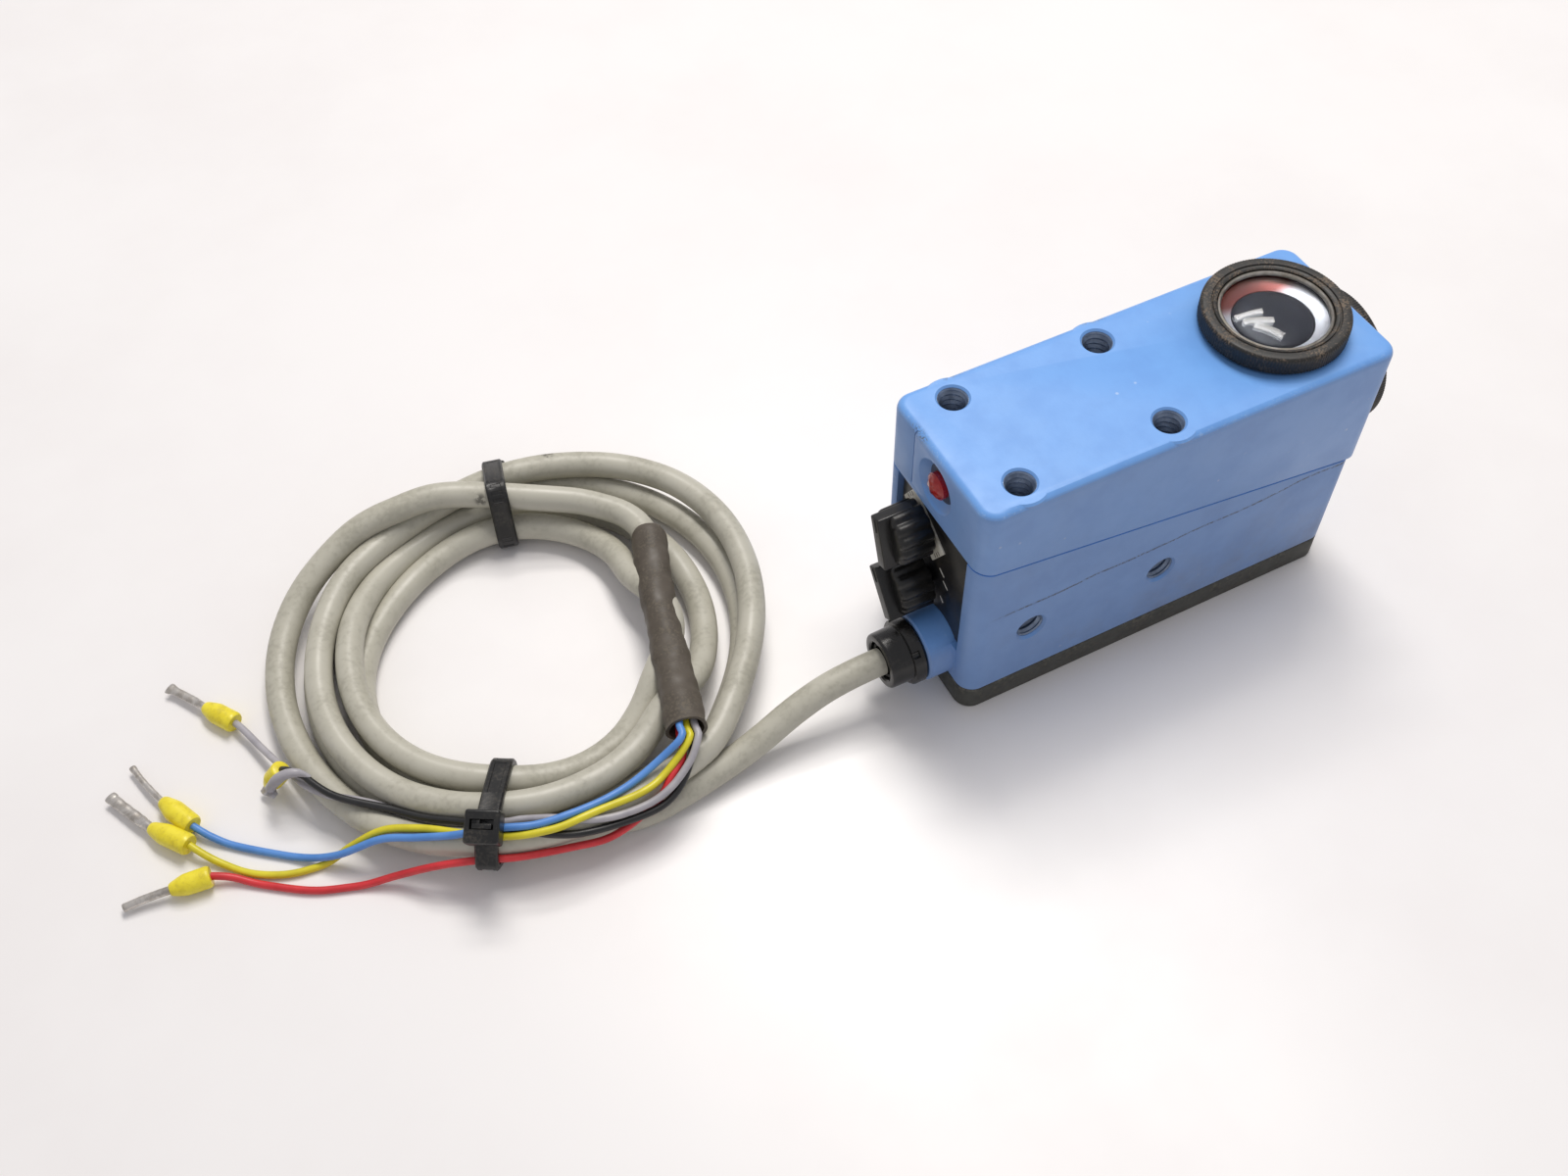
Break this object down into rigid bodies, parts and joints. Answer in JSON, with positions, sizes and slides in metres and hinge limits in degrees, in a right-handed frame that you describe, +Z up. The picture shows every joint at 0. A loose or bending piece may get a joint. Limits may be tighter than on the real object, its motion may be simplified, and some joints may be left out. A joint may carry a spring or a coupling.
{
  "type": "photoelectric sensor",
  "caption": "Block-shaped photoelectric contrast sensor: two-part metal housing, screw-in lens, blanked second port, two knobs, lamp and a tied coil of ferruled cable.",
  "frame": {"origin": "bottom centre of the sensor's box: housing, lens ring, blank cap, knobs and gland, without the lead", "axes": "+X along the housing from the cable end to the blanked port, +Z up through the lens, +Y to the right of someone looking along +X from the cable end turned to the far long side"},
  "size_m": [0.2263, 0.0921, 0.0572],
  "materials": {
    "blue_paint": "fine orange-peel powder coat over die-cast metal, satin, chipped at the edges",
    "dark_cast_cover": "dull dark grey die-cast cover, dusty",
    "seal_rubber": "matt black nitrile rubber",
    "zinc_steel": "bright zinc-plated steel",
    "black_anodised": "black anodised aluminium, matt, finely knurled rim, dusty",
    "lens_glass": "clear polished optical glass",
    "black_plastic": "moulded black plastic, satin",
    "tie_nylon": "black nylon with a soft sheen",
    "board_laminate": "green glass-epoxy board",
    "label_film": "printed black film, plain",
    "dial_film": "off-white printed film with tick marks, grimy at the edge",
    "red_lens": "translucent red faceted plastic",
    "grey_pvc": "soft grey cable sheath, satin, scuffed",
    "shrink_sleeve": "shrunk dark brown-grey sleeve, matt and dusty",
    "wire_grey": "grey core insulation, satin",
    "wire_black": "black core insulation, satin",
    "wire_blue": "blue core insulation, satin",
    "wire_yellow": "yellow core insulation, satin",
    "wire_red": "red core insulation, satin",
    "wire_stub": "pale grey cut conductor",
    "yellow_collar": "yellow ferrule collar, satin",
    "tinned_copper": "dull tinned crimp barrel"
  },
  "bodies": {
    "housing": {"upper_housing": "blue_paint", "lower_housing": "blue_paint", "base_cover": "dark_cast_cover", "base_gasket": "seal_rubber", "base_screw_1": "zinc_steel", "base_screw_2": "zinc_steel", "base_screw_3": "zinc_steel", "base_screw_4": "zinc_steel", "label_plate": "label_film", "dial_plate": "dial_film", "lamp_lens": "red_lens", "cable_gland": "black_plastic", "gland_insert": "seal_rubber", "optics_block": "black_plastic", "splitter_plate": "lens_glass", "emitter_diode": "lens_glass", "emitter_carrier": "board_laminate", "receiver_diode": "zinc_steel", "receiver_board": "board_laminate", "main_board": "board_laminate", "terminal_block": "black_plastic", "potentiometer": "black_plastic", "selector_switch": "black_plastic", "control_board": "board_laminate", "status_diode": "red_lens", "cable_lead": "grey_pvc", "cable_coil": "grey_pvc", "cable_tail": "grey_pvc", "shrink_sleeve": "shrink_sleeve", "cable_tie_upper": "tie_nylon", "cable_tie_lower": "tie_nylon", "core_grey": "wire_grey", "core_black": "wire_black", "core_blue": "wire_blue", "core_yellow": "wire_yellow", "core_red": "wire_red", "core_stub": "wire_stub", "collar_grey": "yellow_collar", "collar_black": "yellow_collar", "collar_blue": "yellow_collar", "collar_yellow": "yellow_collar", "collar_red": "yellow_collar", "barrel_grey": "tinned_copper", "barrel_black": "tinned_copper", "barrel_blue": "tinned_copper", "barrel_yellow": "tinned_copper", "barrel_red": "tinned_copper"},
    "sensitivity_control": {"sensitivity_knob": "black_plastic", "sensitivity_shaft": "black_plastic"},
    "selector_control": {"selector_knob": "black_plastic", "selector_shaft": "black_plastic"},
    "lens_carrier": {"lens_seal": "seal_rubber"},
    "lens_unit": {"lens_ring": "black_anodised", "objective_lens": "lens_glass", "lens_retainer": "black_anodised"},
    "cap_carrier": {"cap_seal": "seal_rubber"},
    "cap_unit": {"blank_cap": "black_anodised"}
  },
  "joints": [
    {"name": "sensitivity_turn", "type": "hinge", "parent": "housing", "child": "sensitivity_control", "pos_m": [-0.0363, 0.003, 0.033], "axis": [-1, 0, 0], "range_deg": [-135, 135]},
    {"name": "selector_turn", "type": "hinge", "parent": "housing", "child": "selector_control", "pos_m": [-0.0363, 0.0015, 0.0208], "axis": [-1, 0, 0], "range_deg": [0, 90]},
    {"name": "lens_lift", "type": "slide", "parent": "housing", "child": "lens_carrier", "axis": [0, 0, 1], "range_m": [0, 0.003]},
    {"name": "lens_unscrew", "type": "hinge", "parent": "lens_carrier", "child": "lens_unit", "pos_m": [0.0286, 0, 0.0532], "axis": [0, 0, 1], "range_deg": [0, 1080]},
    {"name": "cap_lift", "type": "slide", "parent": "housing", "child": "cap_carrier", "axis": [1, 0, 0], "range_m": [0, 0.003]},
    {"name": "cap_unscrew", "type": "hinge", "parent": "cap_carrier", "child": "cap_unit", "pos_m": [0.0441, 0, 0.0378], "axis": [1, 0, 0], "range_deg": [0, 1080]}
  ],
  "couplings": [
    {"joint": "lens_lift", "follows": "lens_unscrew", "m_per_rad": 0.000159},
    {"joint": "cap_lift", "follows": "cap_unscrew", "m_per_rad": 0.000159}
  ]
}
